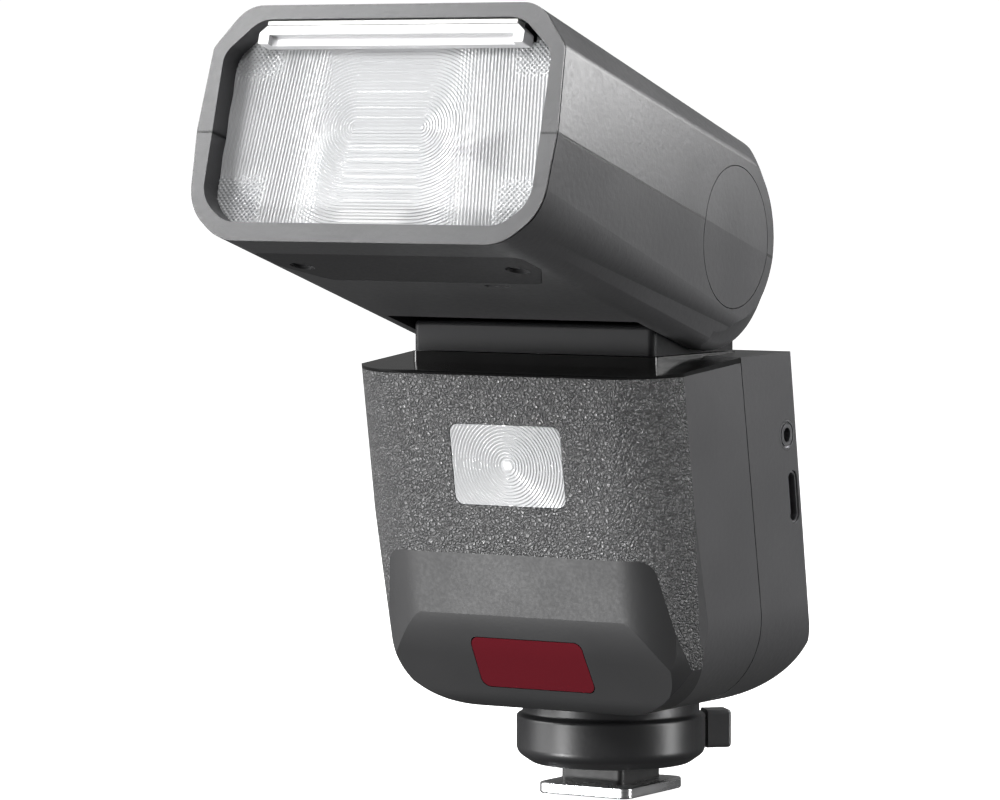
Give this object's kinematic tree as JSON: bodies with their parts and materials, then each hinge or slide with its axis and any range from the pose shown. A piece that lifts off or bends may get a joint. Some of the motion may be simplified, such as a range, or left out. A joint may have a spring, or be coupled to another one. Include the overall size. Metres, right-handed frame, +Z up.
{
  "type": "speedlight flash",
  "caption": "Shoe-mount speedlight flash: zoom head that tilts and swivels on a neck, leaning body with front lamp and focus-assist window, shoe foot with lock lever.",
  "frame": {"origin": "centre of the shoe foot's sole", "axes": "+Z up out of the shoe, -Y the way the lamp and the head face, +X the side with the sockets"},
  "size_m": [0.07, 0.101, 0.1387],
  "materials": {
    "charcoal_plastic": "satin, fine spark-eroded grain",
    "collar_plastic": "satin",
    "black_plastic": "matte",
    "neck_plastic": "satin",
    "satin_panel": "smooth satin",
    "gloss_black": "gloss",
    "key_plastic": "soft-touch satin",
    "grip_leather": "pebbled leatherette",
    "clear_lens": "clear moulded acrylic with ribs",
    "red_window": "dark translucent red",
    "display_glass": "glossy smoked window",
    "tube_glass": "clear quartz",
    "white_card": "matte white",
    "foot_metal": "fine brushed nickel plate",
    "screw_metal": "machined",
    "contact_gold": "gold plated",
    "jack_metal": "machined",
    "reflector_metal": "polished",
    "circuit_board": "solder mask",
    "battery_wrap": "shrink sleeve",
    "capacitor_sleeve": "shrink sleeve"
  },
  "bodies": {
    "root": {"foot_plate": "foot_metal", "foot_pedestal": "black_plastic", "foot_screws": "screw_metal", "lock_collar": "collar_plastic", "body_front_cover": "charcoal_plastic", "grip_skin": "grip_leather", "front_panel": "satin_panel", "top_cover": "gloss_black", "body_rear_shell": "charcoal_plastic", "lamp_lens": "clear_lens", "af_window": "red_window", "sync_jack": "jack_metal", "usb_socket": "jack_metal", "display_window": "display_glass", "display_module": "black_plastic", "main_board": "circuit_board", "dial_encoder": "black_plastic", "lamp_reflector": "reflector_metal", "lamp_led_board": "circuit_board", "af_emitter": "circuit_board", "battery_pack": "battery_wrap", "main_capacitor": "capacitor_sleeve", "swivel_bushing": "black_plastic"},
    "lock_lever": {"lock_lever": "charcoal_plastic"},
    "lock_pin": {"lock_pin": "screw_metal"},
    "contact_pins": {"contact_pins": "contact_gold"},
    "control_dial": {"control_dial": "collar_plastic"},
    "set_button": {"set_button": "key_plastic"},
    "test_button": {"test_button": "key_plastic"},
    "power_switch": {"power_switch": "key_plastic"},
    "menu_button_1": {"menu_button_1": "key_plastic"},
    "menu_button_2": {"menu_button_2": "key_plastic"},
    "menu_button_3": {"menu_button_3": "key_plastic"},
    "menu_button_4": {"menu_button_4": "key_plastic"},
    "neck": {"neck_housing": "neck_plastic", "tilt_axle": "screw_metal", "tilt_washers": "screw_metal", "swivel_tube": "screw_metal", "swivel_retainer": "screw_metal"},
    "head": {"head_upper_shell": "charcoal_plastic", "head_lower_shell": "charcoal_plastic", "head_label": "satin_panel", "head_screws": "screw_metal", "hinge_cap_left": "charcoal_plastic", "hinge_cap_right": "charcoal_plastic", "flash_lens": "clear_lens", "zoom_rods": "screw_metal", "zoom_motor": "screw_metal", "head_board": "circuit_board", "trigger_coil": "black_plastic"},
    "wide_panel": {"wide_panel": "clear_lens"},
    "bounce_card": {"bounce_card": "white_card"},
    "zoom_carriage": {"zoom_carriage": "black_plastic", "reflector": "reflector_metal", "flash_tube": "tube_glass"},
    "zoom_screw": {"zoom_screw": "screw_metal"}
  },
  "joints": [
    {"name": "head_swivel", "type": "hinge", "parent": "root", "child": "neck", "pos_m": [0, -0.013, 0.08], "axis": [0, 0, 1], "range_deg": [-165, 165]},
    {"name": "head_tilt", "type": "hinge", "parent": "neck", "child": "head", "pos_m": [0, -0.01275, 0.09889], "axis": [-1, 0, 0], "range_deg": [-15.6, 74.4]},
    {"name": "wide_panel_slide", "type": "slide", "parent": "head", "child": "wide_panel", "axis": [0, -0.9536, 0.3012], "range_m": [0, 0.032]},
    {"name": "bounce_card_slide", "type": "slide", "parent": "head", "child": "bounce_card", "axis": [0, -0.9536, 0.3012], "range_m": [0, 0.03]},
    {"name": "zoom_slide", "type": "slide", "parent": "head", "child": "zoom_carriage", "axis": [0, 0.9632, -0.2689], "range_m": [0, 0.012]},
    {"name": "zoom_screw_turn", "type": "hinge", "parent": "head", "child": "zoom_screw", "pos_m": [-0.019, -0.05466, 0.09751], "axis": [0, -0.9632, 0.2689], "range_deg": [-10, 1110]},
    {"name": "lock_lever_turn", "type": "hinge", "parent": "root", "child": "lock_lever", "pos_m": [0, 0, 0.0103], "axis": [0, 0, 1], "range_deg": [0, 60]},
    {"name": "lock_pin_slide", "type": "slide", "parent": "root", "child": "lock_pin", "axis": [0, 0, -1], "range_m": [0, 0.0016]},
    {"name": "contact_pins_press", "type": "slide", "parent": "root", "child": "contact_pins", "axis": [0, 0, 1], "range_m": [0, 0.0006], "stiffness_N_per_m": 800},
    {"name": "dial_turn", "type": "hinge", "parent": "root", "child": "control_dial", "pos_m": [0, 0.01529, 0.03889], "axis": [0, 0.9884, 0.1521], "continuous": true},
    {"name": "set_button_press", "type": "slide", "parent": "root", "child": "set_button", "axis": [0, -0.9884, -0.1521], "range_m": [0, 0.0006], "stiffness_N_per_m": 1500},
    {"name": "menu_button_1_press", "type": "slide", "parent": "root", "child": "menu_button_1", "axis": [0, -0.9884, -0.1521], "range_m": [0, 0.0005], "stiffness_N_per_m": 1500},
    {"name": "menu_button_2_press", "type": "slide", "parent": "root", "child": "menu_button_2", "axis": [0, -0.9884, -0.1521], "range_m": [0, 0.0005], "stiffness_N_per_m": 1500},
    {"name": "menu_button_3_press", "type": "slide", "parent": "root", "child": "menu_button_3", "axis": [0, -0.9884, -0.1521], "range_m": [0, 0.0005], "stiffness_N_per_m": 1500},
    {"name": "menu_button_4_press", "type": "slide", "parent": "root", "child": "menu_button_4", "axis": [0, -0.9884, -0.1521], "range_m": [0, 0.0005], "stiffness_N_per_m": 1500},
    {"name": "test_button_press", "type": "slide", "parent": "root", "child": "test_button", "axis": [0, -0.9884, -0.1521], "range_m": [0, 0.0006], "stiffness_N_per_m": 1500},
    {"name": "power_switch_slide", "type": "slide", "parent": "root", "child": "power_switch", "axis": [0, -0.1521, 0.9884], "range_m": [0, 0.004]}
  ],
  "couplings": [
    {"joint": "zoom_screw_turn", "follows": "zoom_slide", "rad_per_m": 1570.8},
    {"joint": "lock_pin_slide", "follows": "lock_lever_turn", "m_per_rad": 0.0015279}
  ]
}
